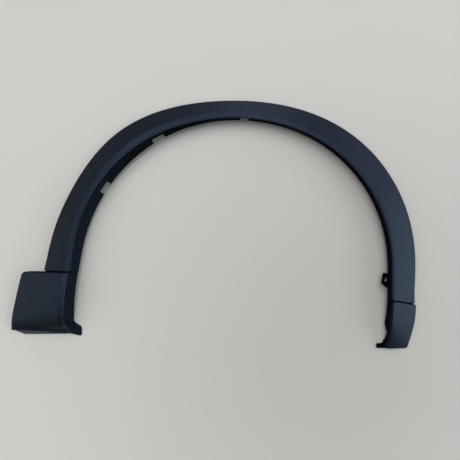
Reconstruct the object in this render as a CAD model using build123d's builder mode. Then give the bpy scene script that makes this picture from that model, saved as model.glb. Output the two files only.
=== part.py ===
from build123d import *
import math
import os

# Wheel arch trim: one plastic moulding that covers the edge of a car's wheel opening.
# It lies face up. X runs along the car, Y is the car's height, Z points away from the car's side.
# It is drawn about the wheel's centre, in millimetres, and moved to its own origin at the end.

# Wall of the moulding and the rounding of its edges
wall = 2.8
lip_break = 3.0
lip_round = 3.0
crease_round = 8.0

# Lip line: the inner edge of the face, arcs that run into each other above two straight legs
lip_rise = 412.0
crown_radius = 470.0
crown_right_turn = 21.8
crown_left_turn = 17.7
right_shoulder_radius = 384.0
left_shoulder_radius = 390.0
right_leg_lean = 1.4
left_leg_lean = 7.4
right_foot_drop = 205.5
left_foot_drop = 161.0

# Grooves that set the two ends apart from the arch
right_joint_drop = 74.0
right_joint_slope = 11.0
left_joint_drop = -1.0
groove_width = 4.0
groove_depth = 6.0

# Arch: sizes of its section at the right joint, right shoulder, crown, left haunch, left shoulder, left joint
right_shoulder_angle = 38.0
left_haunch_angle = 130.0
left_shoulder_angle = 152.0
arch_width = (72.8, 75.5, 57.5, 75.0, 71.0, 90.0)
arch_lip_height = (45.0, 43.0, 38.0, 52.0, 60.0, 62.0)
arch_rim_bottom = (5.0, 6.0, 0.0, 5.0, 8.0, 9.0)
arch_rim_height = (9.0, 9.0, 9.0, 9.0, 9.0, 9.0)
arch_flange_lean = (1.5, 1.5, 2.0, 11.5, 11.0, 4.0)
arch_flange_bottom = (17.5, 19.0, 21.0, 15.0, 11.0, 15.0)
arch_facet_width = (14.0, 14.0, 16.0, 19.0, 15.0, 11.0)
arch_facet_rise = (1.2, 1.2, 3.0, 8.0, 6.0, 4.0)
arch_sections = 16

# Right end: sizes at its tip, at four lengths from there and at the joint, and the share of the turn to the joint
end_lengths = (20.0, 42.0, 67.0, 95.0)
end_turn = (0.0, 0.03, 0.07, 0.13, 0.49, 1.0)
end_width = (56.5, 61.5, 67.3, 72.3, 75.0, 76.0)
end_lip_height = (10.5, 20.5, 28.6, 35.9, 41.4, 47.0)
end_rim_bottom = (0.0, 0.5, 1.2, 2.2, 3.5, 5.0)
end_rim_height = (5.0, 6.0, 7.0, 8.0, 8.5, 9.0)
end_flange_lean = (3.5, 4.5, 1.6, 4.4, 2.6, 1.5)
end_flange_bottom = (3.0, 3.5, 13.5, 8.0, 13.5, 17.0)
end_facet_width = (12.0, 12.5, 13.3, 14.0, 14.0, 14.0)
end_facet_rise = (1.5, 1.5, 1.5, 1.5, 1.4, 1.2)
end_sections = 13
end_corner_round = 10.0

# Left foot: sizes at the joint, its middle, its bend and its bottom
left_bend_length = 36.0
left_foot_slope = 0.8
foot_width = (149.5, 156.0, 162.5, 164.0)
foot_lip_height = (71.0, 70.0, 56.0, 14.0)
foot_rim_bottom = (0.0, 0.0, 0.0, 0.0)
foot_rim_height = (20.0, 19.0, 14.0, 6.0)
foot_flange_lean = (3.0, 4.0, 5.0, 5.0)
foot_flange_bottom = (16.0, 18.0, 6.0, 2.0)
foot_facet_width = (12.0, 12.0, 12.0, 12.0)
foot_facet_rise = (3.0, 4.0, 4.0, 2.0)
foot_sections = 9
foot_corner_round = 14.0
foot_edge_round = 2.5

# Notches in the flange: where, how long, and how much of the flange's depth
notch_angles = (146.6, 116.8, 85.6)
notch_lengths = (34.0, 35.0, 22.0)
notch_shares = (0.42, 0.52, 0.8)
notch_round = 3.0

# Screw tab on the right leg, with its slot
tab_top_drop = 6.5
tab_length = 29.0
tab_reach = 15.0
tab_slant = 10.0
tab_round = 3.0
slot_length = 11.0
slot_width = 6.5
slot_inset = 10.0
slot_drop = 17.5

# Tabs at the two feet, screw slot in the left foot's flange, and the ledge under the left foot
right_tab_reach = 21.5
right_tab_length = 12.0
right_tab_stand = 1.0
right_tab_sweep = 10.0
left_tab_reach = 25.0
left_tab_length = 11.0
left_tab_overhang = 13.0
left_tab_round = 8.0
left_neck_reach = 7.5
left_neck_rise = 11.0
left_neck_end = 20.0
screw_slot_length = 10.0
screw_slot_width = 7.0
screw_slot_drop = 132.0
screw_slot_depth = 18.0
ledge_peak = 32.0
ledge_reach = 11.5
ledge_low = 8.0
ledge_inset = 6.0

# Clip seats and ribs on the back
seat_count = 7
seat_width = 26.0
seat_depth = 22.0
seat_wall = 2.0
seat_inset = 30.0
seat_stand = 2.5
foot_seat_count = 2
foot_seat_inset = 80.0
key_slot = 8.0
key_hole = 10.0
rib_thickness = 2.0
rib_reach = 34.0
rib_rise = 5.0
joint_margin = 55.0
core_depth = 40.0

# Lip line, from the right foot over the crown to the left foot
with BuildLine() as lip_line:
    crown = CenterArc(
        (0, lip_rise - crown_radius), crown_radius, 90 - crown_right_turn, crown_right_turn + crown_left_turn
    )
    right_shoulder = JernArc(
        crown @ 0, (crown % 0) * -1, right_shoulder_radius, crown_right_turn - right_leg_lean - 90
    )
    left_shoulder = JernArc(crown @ 1, crown % 1, left_shoulder_radius, 90 - left_leg_lean - crown_left_turn)
    right_leg_length = ((right_shoulder @ 1).Y + right_foot_drop) / math.cos(math.radians(right_leg_lean))
    left_leg_length = ((left_shoulder @ 1).Y + left_foot_drop) / math.cos(math.radians(left_leg_lean))
    PolarLine(right_shoulder @ 1, right_leg_length, direction=right_shoulder % 1)
    PolarLine(left_shoulder @ 1, left_leg_length, direction=left_shoulder % 1)
lip = lip_line.wire()


def on_right_leg(drop):
    # Length along the lip line at a height below the wheel's centre
    return (right_foot_drop - drop) / math.cos(math.radians(right_leg_lean))


def on_left_leg(drop):
    return lip.length - (left_foot_drop - drop) / math.cos(math.radians(left_leg_lean))


def at_normal(angle):
    # Length along the lip line where its outward normal has this angle from X
    if angle < 90 - crown_right_turn:
        return right_leg_length + math.radians(angle + right_leg_lean) * right_shoulder_radius
    crown_start = right_leg_length + right_shoulder.length
    if angle < 90 + crown_left_turn:
        return crown_start + math.radians(angle - 90 + crown_right_turn) * crown_radius
    return crown_start + crown.length + math.radians(angle - 90 - crown_left_turn) * left_shoulder_radius


# The three stretches of the trim, each with its section's sizes at a few stations along the lip line
right_joint_top = on_right_leg(right_joint_drop - groove_width / 2)
right_joint_low = on_right_leg(right_joint_drop + groove_width / 2)
left_joint_top = on_left_leg(left_joint_drop - groove_width)
left_joint_low = on_left_leg(left_joint_drop)
left_bend = lip.length - left_bend_length
right_joint_skew = right_leg_lean - right_joint_slope

arch = {
    "stations": (
        right_joint_top,
        at_normal(right_shoulder_angle),
        at_normal(90),
        at_normal(left_haunch_angle),
        at_normal(left_shoulder_angle),
        left_joint_top,
    ),
    "skew": (right_joint_skew, 0, 0, 0, 0, left_leg_lean),
    "width": arch_width,
    "lip_height": arch_lip_height,
    "rim_bottom": arch_rim_bottom,
    "rim_height": arch_rim_height,
    "flange_lean": arch_flange_lean,
    "flange_bottom": arch_flange_bottom,
    "facet_width": arch_facet_width,
    "facet_rise": arch_facet_rise,
}
right_end = {
    "stations": (0, *end_lengths, right_joint_low),
    "skew": [right_leg_lean + (right_joint_skew - right_leg_lean) * share for share in end_turn],
    "width": end_width,
    "lip_height": end_lip_height,
    "rim_bottom": end_rim_bottom,
    "rim_height": end_rim_height,
    "flange_lean": end_flange_lean,
    "flange_bottom": end_flange_bottom,
    "facet_width": end_facet_width,
    "facet_rise": end_facet_rise,
}
left_foot = {
    "stations": (left_joint_low, (left_joint_low + left_bend) / 2, left_bend, lip.length),
    "skew": (left_leg_lean, left_leg_lean, left_leg_lean, left_leg_lean - left_foot_slope),
    "width": foot_width,
    "lip_height": foot_lip_height,
    "rim_bottom": foot_rim_bottom,
    "rim_height": foot_rim_height,
    "flange_lean": foot_flange_lean,
    "flange_bottom": foot_flange_bottom,
    "facet_width": foot_facet_width,
    "facet_rise": foot_facet_rise,
}


def steepness(stations, row, k):
    low = max(k - 1, 0)
    high = min(k + 1, len(row) - 1)
    return (row[high] - row[low]) / (stations[high] - stations[low])


def size_at(stretch, name, s):
    # Smooth cubic through a size's values at the stations
    stations = stretch["stations"]
    row = stretch[name]
    k = max(i for i in range(len(stations) - 1) if i == 0 or stations[i] <= s)
    span = stations[k + 1] - stations[k]
    t = min(max((s - stations[k]) / span, 0), 1)
    return (
        (2 * t**3 - 3 * t**2 + 1) * row[k]
        + (t**3 - 2 * t**2 + t) * span * steepness(stations, row, k)
        + (3 * t**2 - 2 * t**3) * row[k + 1]
        + (t**3 - t**2) * span * steepness(stations, row, k + 1)
    )


def spread(start, end, count):
    return [start + (end - start) * i / (count - 1) for i in range(count)]


def section_plane(stretch, s):
    # Local x points out from the lip, local y points up
    outward = lip.tangent_at(s, PositionMode.LENGTH).rotate(Axis.Z, size_at(stretch, "skew", s) - 90)
    return Plane(
        origin=lip.position_at(s, PositionMode.LENGTH), x_dir=outward, z_dir=outward.cross(Vector(0, 0, 1))
    )


def skin(stretch, s, sink=0.0):
    # Outer surface in section: up the rim, over the face and its crease to the lip, down the flange
    width = size_at(stretch, "width", s)
    lip_height = size_at(stretch, "lip_height", s)
    rim_bottom = size_at(stretch, "rim_bottom", s)
    rim_top = rim_bottom + size_at(stretch, "rim_height", s)
    facet_width = size_at(stretch, "facet_width", s)
    flange_lean = size_at(stretch, "flange_lean", s)
    flange_bottom = size_at(stretch, "flange_bottom", s)
    crease_height = lip_height + (rim_top - lip_height) * facet_width / width
    crease_height += size_at(stretch, "facet_rise", s)
    lip_slide = flange_lean * sink / (lip_height - flange_bottom)
    return [
        Vector(width, rim_bottom),
        Vector(width, rim_top - sink),
        Vector(facet_width, crease_height - sink),
        Vector(-lip_slide, lip_height - sink),
        Vector(-flange_lean, flange_bottom),
    ]


# Rounding of the skin's corners, once the one at the lip is cut off
skin_rounds = [0, 0, crease_round, lip_round, lip_round, 0]


def inset(points, distance):
    # The same line, set in by a distance
    normals = [(b - a).normalized().rotate(Axis.Z, 90) for a, b in zip(points, points[1:])]
    bends = [(a + b) * (1 / (1 + a.dot(b))) for a, b in zip(normals, normals[1:])]
    return [p + n * distance for p, n in zip(points, [normals[0], *bends, normals[-1]])]


def outline(plane, points, rounds=0):
    # Closed straight-sided sketch, with its corners rounded where asked
    with BuildSketch(plane) as profile:
        with BuildLine():
            FilletPolyline(*points, radius=rounds, close=True)
        make_face()
    return profile.sketch


def break_corner(points, k, setback):
    # The same line with one corner cut off
    before, corner, after = points[k - 1 : k + 2]
    cut = [corner + (end - corner).normalized() * setback for end in (before, after)]
    return points[:k] + cut + points[k + 1 :]


def shell_profile(stretch, s, sink=0.0):
    # Section of the wall, with its crease and lip rounded
    line = skin(stretch, s, sink)
    outer = break_corner(line, 3, lip_break)
    inner = inset(line, wall)[::-1]
    return outline(section_plane(stretch, s), outer + inner, skin_rounds + [0] * len(inner))


def web_profile(stretch, s):
    # Bulkhead beside a groove, from the middle of the face's wall down past the groove's floor
    middle = inset(skin(stretch, s), wall / 2)
    floor = inset(skin(stretch, s, groove_depth), wall)
    rim_low = Vector(middle[1].X, floor[1].Y)
    lip_low = Vector(middle[3].X, floor[3].Y)
    return outline(section_plane(stretch, s), [rim_low, *middle[1:4], lip_low, floor[2]])


def end_wall_profile(stretch, s):
    return outline(section_plane(stretch, s), inset(skin(stretch, s), wall / 2))


def core_profile(stretch, s, depth):
    # Everything below the skin that is set in by this depth
    points = inset(skin(stretch, s), depth)
    below = [Vector(points[4].X, -core_depth), Vector(points[1].X, -core_depth)]
    return outline(section_plane(stretch, s), points[1:] + below)


def plan_plane(stretch, s, height):
    # Local x points out from the lip, local z points up
    plane = section_plane(stretch, s)
    return Plane(origin=plane.origin + Vector(0, 0, height), x_dir=plane.x_dir, z_dir=(0, 0, 1))


def clip_seat(stretch, s, seat_at):
    # Open-sided box with a keyhole in its floor, which a push clip slides into from the rim's side
    floor = plan_plane(stretch, s, size_at(stretch, "rim_bottom", s) + seat_stand)
    height = size_at(stretch, "lip_height", s)
    with BuildPart() as seat:
        with BuildSketch(floor):
            with Locations((seat_at, 0)):
                Rectangle(seat_depth, seat_width)
        extrude(amount=height)
        with BuildSketch(floor.offset(seat_wall)):
            with Locations((seat_at + seat_wall, 0)):
                Rectangle(seat_depth, seat_width - 2 * seat_wall)
        extrude(amount=height, mode=Mode.SUBTRACT)
        with BuildSketch(floor):
            with Locations((seat_at, 0)):
                Circle(key_hole / 2)
                Rectangle(seat_depth, key_slot, align=(Align.MIN, Align.CENTER))
        extrude(amount=seat_wall, mode=Mode.SUBTRACT)
    return seat.part


def flange_rib(stretch, s):
    # Gusset between the flange and the back of the face
    points = skin(stretch, s)
    foot = Vector(points[4].X, points[4].Y + rib_rise)
    tip = Vector(rib_reach, (points[1].Y + points[3].Y) / 2)
    above = points[3].Y + rib_reach
    return outline(section_plane(stretch, s), [foot, tip, Vector(rib_reach, above), Vector(foot.X, above)])


# Stations of the sections that the three stretches are lofted through
arch_stations = spread(right_joint_top, left_joint_top, arch_sections)
end_stations = spread(0, right_joint_low, end_sections)
foot_stations = spread(left_joint_low, lip.length, foot_sections)
hollow_stations = spread(left_joint_low + wall, lip.length - wall, foot_sections)

# Clip seats and ribs behind the arch, trimmed to the middle of its wall
with BuildPart() as arch_core:
    loft([core_profile(arch, s, wall / 2) for s in arch_stations])
seat_stations = spread(right_joint_top + joint_margin, left_joint_top - joint_margin, seat_count)
rib_stations = [(a + b) / 2 for a, b in zip(seat_stations, seat_stations[1:])]
with BuildPart() as arch_back:
    for s in seat_stations:
        add(clip_seat(arch, s, seat_inset))
    for s in rib_stations:
        extrude(flange_rib(arch, s), amount=rib_thickness / 2, both=True)
    add(arch_core.part, mode=Mode.INTERSECT)

# Clip seats inside the left foot
with BuildPart() as foot_core:
    loft([core_profile(left_foot, s, wall / 2) for s in foot_stations])
foot_seat_stations = spread(left_joint_low, left_bend, foot_seat_count + 2)[1:-1]
with BuildPart() as foot_back:
    for s in foot_seat_stations:
        add(clip_seat(left_foot, s, foot_seat_inset))
    add(foot_core.part, mode=Mode.INTERSECT)


def gap_to(plane, other):
    # Signed distance from one section plane to another
    return (other.origin - plane.origin).dot(plane.z_dir)


right_gap = gap_to(section_plane(arch, right_joint_top), section_plane(right_end, right_joint_low))
left_gap = gap_to(section_plane(arch, left_joint_top), section_plane(left_foot, left_joint_low))

# Screw tab: a flat plate on the lower edge of the right leg's flange
tab_at = on_right_leg(tab_top_drop + tab_length / 2)
tab_root = wall / 2 - size_at(arch, "flange_lean", tab_at)
tab_tip = -size_at(arch, "flange_lean", tab_at) - tab_reach
tab_plane = plan_plane(arch, tab_at, size_at(arch, "flange_bottom", tab_at))
tab_points = [
    (tab_root, tab_length / 2),
    (tab_tip, tab_length / 2),
    (tab_tip, -tab_length / 2),
    (tab_root, -tab_length / 2 - tab_slant),
]

# Arch, with a bulkhead at each end, the floors of the two grooves and the screw tab
with BuildPart() as arch_band:
    loft([shell_profile(arch, s) for s in arch_stations])
    extrude(web_profile(arch, right_joint_top), amount=-wall)
    extrude(web_profile(arch, left_joint_top), amount=wall)
    extrude(shell_profile(arch, right_joint_top, groove_depth), amount=right_gap)
    extrude(shell_profile(arch, left_joint_top, groove_depth), amount=left_gap)
    extrude(outline(tab_plane, tab_points, [0, tab_round, tab_round, 0]), amount=wall)
    with BuildSketch(tab_plane):
        with Locations((tab_tip + slot_inset, tab_length / 2 - slot_drop)):
            SlotOverall(slot_length, slot_width, rotation=90)
    extrude(amount=wall, mode=Mode.SUBTRACT)
    # Notches in the flange's lower edge
    for angle, length, share in zip(notch_angles, notch_lengths, notch_shares):
        s = at_normal(angle)
        plane = section_plane(arch, s)
        flange_bottom = size_at(arch, "flange_bottom", s)
        notch_depth = share * (size_at(arch, "lip_height", s) - flange_bottom)
        reach = size_at(arch, "flange_lean", s) + 2 * wall
        with BuildSketch(Plane(origin=plane.origin, x_dir=plane.z_dir * -1, z_dir=plane.x_dir)):
            with Locations((0, flange_bottom)):
                RectangleRounded(length, 2 * notch_depth, notch_round)
        extrude(amount=reach, both=True, mode=Mode.SUBTRACT)
    add(arch_back.part)

# Right end, closed at its tip, with a tab that sweeps out of its flange and a rounded outer corner
right_tab_root = wall / 2 - end_flange_lean[0]
right_tab_tip = -end_flange_lean[0] - right_tab_reach
right_tab_edge = -end_flange_lean[1] - right_tab_stand
right_tab_top = right_tab_length + right_tab_sweep + right_tab_stand
right_tab_points = [
    (right_tab_root, 0),
    (right_tab_root, right_tab_top),
    (right_tab_edge, right_tab_top),
    (right_tab_edge, right_tab_length),
    (right_tab_tip, right_tab_length),
    (right_tab_tip, 0),
]
right_tab_rounds = [0, 0, 0, right_tab_sweep, tab_round, tab_round]
corner_cut = 2 * end_corner_round
corner_slope = (end_width[1] - end_width[0]) / end_lengths[0]
corner_points = [
    (end_width[0] - corner_cut, 0),
    (end_width[0], 0),
    (end_width[0] + corner_slope * corner_cut, corner_cut),
    (end_width[0] + corner_cut, corner_cut),
    (end_width[0] + corner_cut, -corner_cut),
    (end_width[0] - corner_cut, -corner_cut),
]
corner_rounds = [0, end_corner_round, 0, 0, 0, 0]
with BuildPart() as right_tip:
    loft([shell_profile(right_end, s) for s in end_stations])
    extrude(web_profile(right_end, right_joint_low), amount=wall)
    extrude(end_wall_profile(right_end, 0), amount=-wall)
    right_tab_plane = plan_plane(right_end, 0, end_flange_bottom[0])
    extrude(outline(right_tab_plane, right_tab_points, right_tab_rounds), amount=wall)
    corner_plane = plan_plane(right_end, 0, 0)
    extrude(outline(corner_plane, corner_points, corner_rounds), amount=core_depth, mode=Mode.SUBTRACT)

# Left foot: its tab, the ledge under it and its screw slot, which is cut along the car
left_tab_plane = plan_plane(left_foot, lip.length, foot_flange_bottom[-1])
left_tab_root = wall / 2 - foot_flange_lean[-1]
left_tab_tip = -foot_flange_lean[-1] - left_tab_reach
left_tab_points = [
    (left_tab_root, ledge_low),
    (left_tab_tip, left_tab_overhang),
    (left_tab_tip, -left_tab_length),
    (-foot_flange_lean[-1] - left_neck_reach, -left_tab_length - left_neck_rise),
    (left_tab_root, -left_tab_length - left_neck_end),
]
left_tab_rounds = [0, tab_round, left_tab_round, left_tab_round, 0]
ledge_start = foot_width[-1] - ledge_inset
ledge_points = [
    (ledge_start, -wall / 2),
    (left_tab_root, -wall / 2),
    (left_tab_root, ledge_low),
    (ledge_start - ledge_peak, ledge_reach),
    (ledge_start, 0),
]
screw_at = on_left_leg(screw_slot_drop)
screw_height = size_at(left_foot, "lip_height", screw_at) - screw_slot_depth
screw_centre = lip.position_at(screw_at, PositionMode.LENGTH) + Vector(0, 0, screw_height)
screw_reach = size_at(left_foot, "flange_lean", screw_at) + 2 * wall

# Left foot: a hollow block with a wall at its top and its bottom
foot_top = section_plane(left_foot, left_joint_low)
foot_rim = size_at(left_foot, "width", left_joint_low)
foot_corner = foot_top.from_local_coords(Vector(foot_rim, foot_rim_height[0] / 2))
foot_corner_top = foot_top.from_local_coords(Vector(foot_rim, foot_rim_height[0]))
with BuildPart() as foot_hollow:
    loft([core_profile(left_foot, s, wall) for s in hollow_stations])
    fillet(foot_hollow.edges().sort_by_distance(foot_corner)[0], foot_corner_round - wall)
with BuildPart() as foot_block:
    foot_skins = [break_corner(skin(left_foot, s), 3, lip_break) for s in foot_stations]
    foot_planes = [section_plane(left_foot, s) for s in foot_stations]
    loft([outline(plane, points, skin_rounds) for plane, points in zip(foot_planes, foot_skins)])
    fillet(foot_block.edges().sort_by_distance(foot_corner)[0], foot_corner_round)
    fillet(foot_block.edges().sort_by_distance(foot_corner_top)[0], foot_edge_round)
    add(foot_hollow.part, mode=Mode.SUBTRACT)
    add(foot_back.part)
    extrude(outline(left_tab_plane, left_tab_points, left_tab_rounds), amount=wall)
    extrude(outline(plan_plane(left_foot, lip.length, 0), ledge_points), amount=wall)
    with BuildSketch(Plane(origin=screw_centre, x_dir=(0, 1, 0), z_dir=(1, 0, 0))):
        SlotOverall(screw_slot_length, screw_slot_width)
    extrude(amount=screw_reach, both=True, mode=Mode.SUBTRACT)

with BuildPart() as trim:
    add(arch_band.part)
    add(right_tip.part)
    add(foot_block.part)

# The origin is at the middle of the box around the trim, on the surface that it lies on
box = trim.part.bounding_box()
wheel_arch_trim = trim.part.moved(Location((-box.center().X, -box.center().Y, -box.min.Z)))
wheel_arch_trim.label = "wheel_arch_trim"
os.makedirs("parts", exist_ok=True)
export_step(wheel_arch_trim, "parts/wheel_arch_trim.step")
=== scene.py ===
import bpy
import bmesh
import math
from mathutils import Euler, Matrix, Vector

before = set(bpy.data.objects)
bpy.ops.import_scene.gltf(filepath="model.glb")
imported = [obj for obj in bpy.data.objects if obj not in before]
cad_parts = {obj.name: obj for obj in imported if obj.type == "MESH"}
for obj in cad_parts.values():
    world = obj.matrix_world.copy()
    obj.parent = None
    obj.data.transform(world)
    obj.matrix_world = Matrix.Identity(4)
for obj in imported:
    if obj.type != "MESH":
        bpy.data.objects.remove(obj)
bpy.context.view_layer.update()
scene = bpy.context.scene
scene.view_settings.view_transform = "Standard"
print("frame loaded:", ", ".join(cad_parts))


# moulded skin: shading that stays smooth over the long curves and sharp at the real edges
skinSetup = {
    "mergeDistance": 0.00002,
    "sharpAngleDeg": 32.0,
    "broadFaceWeight": 100,
}


def smoothSkin(obj, setup):
    tree = bpy.data.node_groups.new("smoothMouldedSkin", "GeometryNodeTree")
    tree.interface.new_socket("Geometry", in_out="INPUT", socket_type="NodeSocketGeometry")
    tree.interface.new_socket("Geometry", in_out="OUTPUT", socket_type="NodeSocketGeometry")
    source = tree.nodes.new("NodeGroupInput")
    result = tree.nodes.new("NodeGroupOutput")
    merge = tree.nodes.new("GeometryNodeMergeByDistance")
    merge.inputs["Distance"].default_value = setup["mergeDistance"]
    edgeAngle = tree.nodes.new("GeometryNodeInputMeshEdgeAngle")
    isSoft = tree.nodes.new("FunctionNodeCompare")
    isSoft.operation = "LESS_THAN"
    isSoft.inputs["B"].default_value = math.radians(setup["sharpAngleDeg"])
    smoothFaces = tree.nodes.new("GeometryNodeSetShadeSmooth")
    smoothFaces.domain = "FACE"
    smoothEdges = tree.nodes.new("GeometryNodeSetShadeSmooth")
    smoothEdges.domain = "EDGE"
    tree.links.new(source.outputs["Geometry"], merge.inputs["Geometry"])
    tree.links.new(edgeAngle.outputs["Unsigned Angle"], isSoft.inputs["A"])
    tree.links.new(merge.outputs["Geometry"], smoothFaces.inputs["Geometry"])
    tree.links.new(smoothFaces.outputs["Geometry"], smoothEdges.inputs["Geometry"])
    tree.links.new(isSoft.outputs["Result"], smoothEdges.inputs["Shade Smooth"])
    tree.links.new(smoothEdges.outputs["Geometry"], result.inputs["Geometry"])
    modifier = obj.modifiers.new("smoothSkin", "NODES")
    modifier.node_group = tree
    # broad faces keep their own direction, and the turn is left to the small rounds between them
    steady = obj.modifiers.new("steadyFaces", "WEIGHTED_NORMAL")
    steady.mode = "FACE_AREA"
    steady.weight = setup["broadFaceWeight"]
    steady.keep_sharp = True


# shader nodes: each helper takes sockets or plain values and returns the output socket
def feed(tree, socket, value):
    if isinstance(value, bpy.types.NodeSocket):
        tree.links.new(value, socket)
    else:
        socket.default_value = value


def mathNode(tree, operation, *values):
    node = tree.nodes.new("ShaderNodeMath")
    node.operation = operation
    for socket, value in zip(node.inputs, values):
        feed(tree, socket, value)
    return node.outputs["Value"]


def vectorNode(tree, operation, first, second):
    node = tree.nodes.new("ShaderNodeVectorMath")
    node.operation = operation
    feed(tree, node.inputs[0], first)
    feed(tree, node.inputs[1], second)
    isNumber = operation in ("DOT_PRODUCT", "DISTANCE")
    return node.outputs["Value" if isNumber else "Vector"]


def splitNode(tree, vector):
    node = tree.nodes.new("ShaderNodeSeparateXYZ")
    tree.links.new(vector, node.inputs["Vector"])
    return node.outputs


def rampNode(tree, value, ends, results=(0.0, 1.0), kind="SMOOTHSTEP"):
    node = tree.nodes.new("ShaderNodeMapRange")
    node.interpolation_type = kind
    node.inputs["From Min"].default_value = ends[0]
    node.inputs["From Max"].default_value = ends[1]
    node.inputs["To Min"].default_value = results[0]
    node.inputs["To Max"].default_value = results[1]
    tree.links.new(value, node.inputs["Value"])
    return node.outputs["Result"]


def mixNode(tree, factor, first, second):
    node = tree.nodes.new("ShaderNodeMix")
    node.data_type = "RGBA"
    tree.links.new(factor, node.inputs["Factor"])
    feed(tree, node.inputs["A"], first)
    feed(tree, node.inputs["B"], second)
    return node.outputs["Result"]


def noiseNode(tree, place, scale, detail):
    node = tree.nodes.new("ShaderNodeTexNoise")
    node.inputs["Scale"].default_value = scale
    node.inputs["Detail"].default_value = detail
    tree.links.new(place, node.inputs["Vector"])
    return node.outputs["Fac"]


def allOf(tree, mask, *others):
    for other in others:
        mask = mathNode(tree, "MULTIPLY", mask, other)
    return mask


def invert(tree, mask):
    return mathNode(tree, "SUBTRACT", 1.0, mask)


# grained plastic: blue-black, moulded in colour, with a fine leather-like grain on the show side
# a pair gives a soft border's start and end, a line across the trim is height and slope in x
plasticSetup = {
    "faceColour": (0.0068, 0.0100, 0.0166, 1.0),
    "faceColourShade": (0.0058, 0.0085, 0.0141, 1.0),
    # painted light: the left leg's flange is coloured lighter, where light falls on it
    "paintedLightLegColour": (0.0088, 0.0114, 0.0168, 1.0),
    # painted shade: the flange and the low flat tabs are coloured darker
    "paintedShadeReturnColour": (0.0052, 0.0063, 0.0083, 1.0),
    "paintedShadeTabColour": (0.0027, 0.0027, 0.0024, 1.0),
    # painted shade: the grooves are coloured darker
    "paintedShadeGrooveColour": (0.0027, 0.0046, 0.0081, 1.0),
    "ledgeColour": (0.0459, 0.0466, 0.0405, 1.0),
    "mottleScale": 7.0,
    "mottleDetail": 3.0,
    "faceNormal": (0.30, 0.56),
    "flatNormal": (0.955, 0.985),
    "tabLow": 0.0036,
    "tabHigh": 0.0240,
    "paintedLightLegEdge": (-0.16, -0.34),
    "ledgeEdge": (-0.43, -0.46),
    "ledgeLow": -0.27,
    "rightGroove": {"height": -0.1118, "slope": 0.20},
    "leftGroove": {"height": -0.1290, "slope": 0.0},
    "grooveHalfWidth": 0.0021,
    "archMiddle": (0.054, -0.11, 0.0),
    "sheenTint": (0.52, 0.66, 1.0, 1.0),
    "sheenNormal": (0.786, 0.965),
    "faceSheen": (0.013, 0.235),
    "edgeNormal": (0.97, 0.88),
    "edgeReach": (0.0, 0.18),
    "edgeSheen": 2.5,
    "endLine": {"height": -0.166, "slope": 0.092},
    "endLean": (0.08, 0.03),
    "endLeanRight": 0.10,
    "endBottom": (-0.345, -0.255),
    "endRidge": (0.0, 0.15),
    "endDull": 0.5,
    "roughness": (0.34, 0.42),
    "pebbleScale": 620.0,
    "pebbleShare": 0.6,
    "grainScale": 1500.0,
    "grainDetail": 2.0,
    "grainDepth": 0.00010,
    "grainStrength": 0.5,
}


def readSurface(tree):
    place = tree.nodes.new("ShaderNodeTexCoord").outputs
    at = splitNode(tree, place["Object"])
    return {
        "place": place["Object"],
        "normal": place["Normal"],
        "at": at,
        "facing": splitNode(tree, place["Normal"]),
        "isRight": mathNode(tree, "GREATER_THAN", at["X"], 0.0),
    }


def heightOnLine(tree, at, line):
    return mathNode(tree, "MULTIPLY_ADD", at["X"], line["slope"], at["Y"])


def grooveMask(tree, at, groove, halfWidth):
    return mathNode(tree, "COMPARE", heightOnLine(tree, at, groove), groove["height"], halfWidth)


def plasticColour(tree, surface, mottle, setup):
    at, facing, isRight = surface["at"], surface["facing"], surface["isRight"]
    # the show side faces up; the flange and the low flat tabs are dull and coloured darker as
    # painted shade, the tabs darkest, while the left leg's flange is coloured lighter as painted
    # light
    upright = rampNode(tree, facing["Z"], setup["faceNormal"])
    flat = rampNode(tree, facing["Z"], setup["flatNormal"])
    aboveFloor = mathNode(tree, "GREATER_THAN", at["Z"], setup["tabLow"])
    belowFace = mathNode(tree, "LESS_THAN", at["Z"], setup["tabHigh"])
    isTab = allOf(tree, flat, aboveFloor, belowFace)
    isFace = allOf(tree, upright, invert(tree, isTab))
    # painted light: the left leg's flange gets a lighter colour
    paintedLightLeg = rampNode(tree, at["X"], setup["paintedLightLegEdge"])
    paintedFlangeTone = mixNode(tree, isTab, setup["paintedShadeReturnColour"], setup["paintedShadeTabColour"])
    paintedFlangeTone = mixNode(tree, paintedLightLeg, paintedFlangeTone, setup["paintedLightLegColour"])
    face = mixNode(tree, mottle, setup["faceColourShade"], setup["faceColour"])
    colour = mixNode(tree, isFace, paintedFlangeTone, face)

    # the two grooves get painted shade, a darker colour, and are dull
    onRight = grooveMask(tree, at, setup["rightGroove"], setup["grooveHalfWidth"])
    onLeft = grooveMask(tree, at, setup["leftGroove"], setup["grooveHalfWidth"])
    onEither = mathNode(tree, "ADD", allOf(tree, onRight, isRight),
                        allOf(tree, onLeft, invert(tree, isRight)))
    isGroove = allOf(tree, onEither, upright)
    colour = mixNode(tree, isGroove, colour, setup["paintedShadeGrooveColour"])
    isShow = allOf(tree, isFace, invert(tree, isGroove))

    # the foot's bottom ledge, next to the floor, is coloured lighter and greyer
    atFoot = mathNode(tree, "LESS_THAN", at["Y"], setup["ledgeLow"])
    isLedge = allOf(tree, flat, invert(tree, aboveFloor), atFoot,
                    rampNode(tree, at["X"], setup["ledgeEdge"]))
    return mixNode(tree, isLedge, colour, setup["ledgeColour"]), isShow


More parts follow.
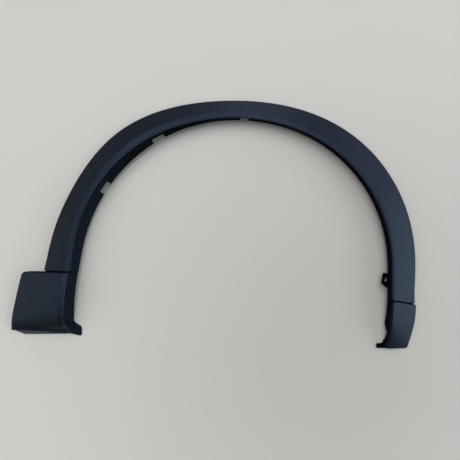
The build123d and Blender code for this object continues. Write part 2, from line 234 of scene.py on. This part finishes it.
def plasticSheen(tree, surface, setup):
    at, facing, isRight = surface["at"], surface["facing"], surface["isRight"]
    # how far a face leans out, away from the wheel's middle
    fromMiddle = vectorNode(tree, "SUBTRACT", surface["place"], setup["archMiddle"])
    level = vectorNode(tree, "MULTIPLY", fromMiddle, (1.0, 1.0, 0.0))
    lean = vectorNode(tree, "DOT_PRODUCT", level, surface["normal"])
    isInward = mathNode(tree, "LESS_THAN", lean, 0.0)

    # less sheen where the face turns down and leans out
    slope = mathNode(tree, "MAXIMUM", facing["Z"], isInward)
    sheen = rampNode(tree, slope, setup["sheenNormal"], setup["faceSheen"], "LINEAR")

    # more on the round of the inner edge, around the crown
    isEdge = allOf(tree, isInward, rampNode(tree, facing["Z"], setup["edgeNormal"]),
                   rampNode(tree, at["Y"], setup["edgeReach"]))
    gain = mathNode(tree, "MULTIPLY_ADD", isEdge, setup["edgeSheen"], 1.0)

    # more on the inner facet of the foot and of the right end, and less on the right end's edge
    endLine = setup["endLine"]
    isEnd = mathNode(tree, "LESS_THAN", heightOnLine(tree, at, endLine), endLine["height"])
    leanRight = mathNode(tree, "MULTIPLY", isRight, setup["endLeanRight"])
    leanAtEnd = mathNode(tree, "SUBTRACT", lean, leanRight)
    isEndFacet = allOf(tree, isEnd, rampNode(tree, leanAtEnd, setup["endLean"]),
                       rampNode(tree, facing["Y"], setup["endBottom"]))
    pastRidge = mathNode(tree, "MAXIMUM", rampNode(tree, facing["X"], setup["endRidge"]),
                         invert(tree, isRight))
    endGain = mathNode(tree, "SUBTRACT", pastRidge, setup["endDull"])
    gain = mathNode(tree, "MULTIPLY_ADD", isEndFacet, endGain, gain)
    return mathNode(tree, "MULTIPLY", sheen, gain)


def plasticGrain(tree, surface, setup):
    # small pebbles with finer points between them
    pebble = tree.nodes.new("ShaderNodeTexVoronoi")
    pebble.inputs["Scale"].default_value = setup["pebbleScale"]
    tree.links.new(surface["place"], pebble.inputs["Vector"])
    points = noiseNode(tree, surface["place"], setup["grainScale"], setup["grainDetail"])
    bump = tree.nodes.new("ShaderNodeBump")
    bump.inputs["Distance"].default_value = setup["grainDepth"]
    bump.inputs["Strength"].default_value = setup["grainStrength"]
    relief = mathNode(tree, "MULTIPLY_ADD", pebble.outputs["Distance"], setup["pebbleShare"], points)
    tree.links.new(relief, bump.inputs["Height"])
    return bump.outputs["Normal"]


def makeGrainedPlastic(setup):
    material = bpy.data.materials.new("grainedPlastic")
    material.use_nodes = True
    tree = material.node_tree
    shader = tree.nodes["Principled BSDF"]
    surface = readSurface(tree)
    # tone and roughness wander a little over the moulding
    mottle = noiseNode(tree, surface["place"], setup["mottleScale"], setup["mottleDetail"])
    roughness = rampNode(tree, mottle, (0.0, 1.0), setup["roughness"], "LINEAR")
    colour, isShow = plasticColour(tree, surface, mottle, setup)
    sheen = allOf(tree, plasticSheen(tree, surface, setup), isShow)
    shader.inputs["Specular Tint"].default_value = setup["sheenTint"]
    tree.links.new(colour, shader.inputs["Base Color"])
    tree.links.new(sheen, shader.inputs["Specular IOR Level"])
    tree.links.new(roughness, shader.inputs["Roughness"])
    tree.links.new(plasticGrain(tree, surface, setup), shader.inputs["Normal"])
    return material


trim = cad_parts["wheel_arch_trim"]
smoothSkin(trim, skinSetup)
trim.data.materials.clear()
trim.data.materials.append(makeGrainedPlastic(plasticSetup))
print("trim dressed")


# pale floor, with a painted shadow that makes it a little darker in front of the right end
floorSetup = {
    "size": 9.0,
    "colour": (0.626, 0.590, 0.533, 1.0),
    "colourShade": (0.602, 0.567, 0.512, 1.0),
    "roughness": 0.75,
    "sheen": 0.2,
    "cloudScale": 2.2,
    "cloudDetail": 2.0,
    # painted shadow: centre, reach and tone of the floor's darker patch
    "shadeCentre": (0.33, -0.36, 0.0),
    "shadeReach": 1.05,
    "shadeTone": 0.77,
}


def makePaleFloor(setup):
    material = bpy.data.materials.new("paleFloor")
    material.use_nodes = True
    tree = material.node_tree
    shader = tree.nodes["Principled BSDF"]
    shader.inputs["Roughness"].default_value = setup["roughness"]
    shader.inputs["Specular IOR Level"].default_value = setup["sheen"]
    place = tree.nodes.new("ShaderNodeTexCoord").outputs["Object"]
    cloud = noiseNode(tree, place, setup["cloudScale"], setup["cloudDetail"])
    distance = vectorNode(tree, "DISTANCE", place, setup["shadeCentre"])
    shaded = tree.nodes.new("ShaderNodeVectorMath")
    shaded.operation = "SCALE"
    tree.links.new(mixNode(tree, cloud, setup["colourShade"], setup["colour"]), shaded.inputs[0])
    tree.links.new(rampNode(tree, distance, (0.0, setup["shadeReach"]), (setup["shadeTone"], 1.0)),
                   shaded.inputs["Scale"])
    tree.links.new(shaded.outputs["Vector"], shader.inputs["Base Color"])
    return material


def makeFloor(setup):
    mesh = bpy.data.meshes.new("floor")
    shape = bmesh.new()
    bmesh.ops.create_grid(shape, x_segments=1, y_segments=1, size=setup["size"] / 2)
    shape.to_mesh(mesh)
    shape.free()
    mesh.materials.append(makePaleFloor(setup))
    floor = bpy.data.objects.new("floor", mesh)
    scene.collection.objects.link(floor)


makeFloor(floorSetup)
print("floor laid")


# soft light: a broad low window to the right, windows beyond the crown, a pale ceiling,
# weaker light from the left and a faint one from the front
lightSetup = {
    "rightLow": {"azimuth": -8.0, "elevation": 16.0, "spread": 50.0,
                 "strength": 1.65, "colour": (0.82, 1.04, 1.14)},
    "rightCorner": {"azimuth": 35.0, "elevation": 25.0, "spread": 40.0,
                    "strength": 0.55, "colour": (0.94, 0.94, 1.12)},
    "crown": {"azimuth": 78.0, "elevation": 40.0, "spread": 16.0,
              "strength": 0.28, "colour": (1.07, 0.98, 0.95)},
    "crownLow": {"azimuth": 85.0, "elevation": 15.0, "spread": 30.0,
                 "strength": 0.50, "colour": (0.91, 0.98, 1.11)},
    "crownHigh": {"azimuth": 85.0, "elevation": 62.0, "spread": 40.0,
                  "strength": 0.90, "colour": (0.96, 1.02, 1.02)},
    "ceiling": {"azimuth": 135.0, "elevation": 68.0, "spread": 50.0,
                "strength": 0.62, "colour": (0.97, 0.97, 1.06)},
    "zenith": {"azimuth": 0.0, "elevation": 90.0, "spread": 40.0,
               "strength": 0.13, "colour": (0.89, 1.01, 1.10)},
    "left": {"azimuth": 170.0, "elevation": 40.0, "spread": 40.0,
             "strength": 0.32, "colour": (0.95, 0.97, 1.08)},
    "leftHigh": {"azimuth": 185.0, "elevation": 65.0, "spread": 40.0,
                 "strength": 0.20, "colour": (0.95, 1.00, 1.05)},
    "leftLow": {"azimuth": 190.0, "elevation": 15.0, "spread": 50.0,
                "strength": 0.32, "colour": (0.86, 1.04, 1.10)},
    "front": {"azimuth": 287.0, "elevation": 44.0, "spread": 26.0,
              "strength": 0.16, "colour": (1.00, 1.00, 1.00)},
}
roomSetup = {
    "colour": (1.0, 1.0, 1.0, 1.0),
    "strength": 0.08,
    "windowDistance": 3.0,
}


def makeWindow(name, setup, distance):
    light = bpy.data.lights.new(name, "SUN")
    light.angle = math.radians(setup["spread"])
    light.energy = setup["strength"]
    light.color = setup["colour"]
    window = bpy.data.objects.new(name, light)
    azimuth, elevation = math.radians(setup["azimuth"]), math.radians(setup["elevation"])
    level = math.cos(elevation)
    towards = Vector((level * math.cos(azimuth), level * math.sin(azimuth), math.sin(elevation)))
    window.location = towards * distance
    window.rotation_euler = towards.to_track_quat("Z", "Y").to_euler()
    scene.collection.objects.link(window)


def makeRoom(setup):
    room = bpy.data.worlds.new("room")
    room.use_nodes = True
    background = room.node_tree.nodes["Background"]
    background.inputs["Color"].default_value = setup["colour"]
    background.inputs["Strength"].default_value = setup["strength"]
    scene.world = room


for windowName, windowSetup in lightSetup.items():
    makeWindow(windowName + "Light", windowSetup, roomSetup["windowDistance"])
makeRoom(roomSetup)
print("light set")


# camera: almost straight down over the wheel opening, with a slight tilt
cameraSetup = {
    "place": (0.07392, -0.05915, 0.9485),
    "tiltDeg": (2.36, 1.25, -0.30),
    "lens": 27.05,
    "sensor": 36.0,
    "nearest": 0.01,
}


def makeCamera(setup):
    data = bpy.data.cameras.new("camera")
    data.lens = setup["lens"]
    data.sensor_width = setup["sensor"]
    data.clip_start = setup["nearest"]
    camera = bpy.data.objects.new("camera", data)
    camera.location = setup["place"]
    turn = Euler([math.radians(angle) for angle in setup["tiltDeg"]], "ZYX")
    camera.rotation_euler = turn.to_matrix().to_euler()
    scene.collection.objects.link(camera)
    scene.camera = camera


makeCamera(cameraSetup)
print("camera placed")
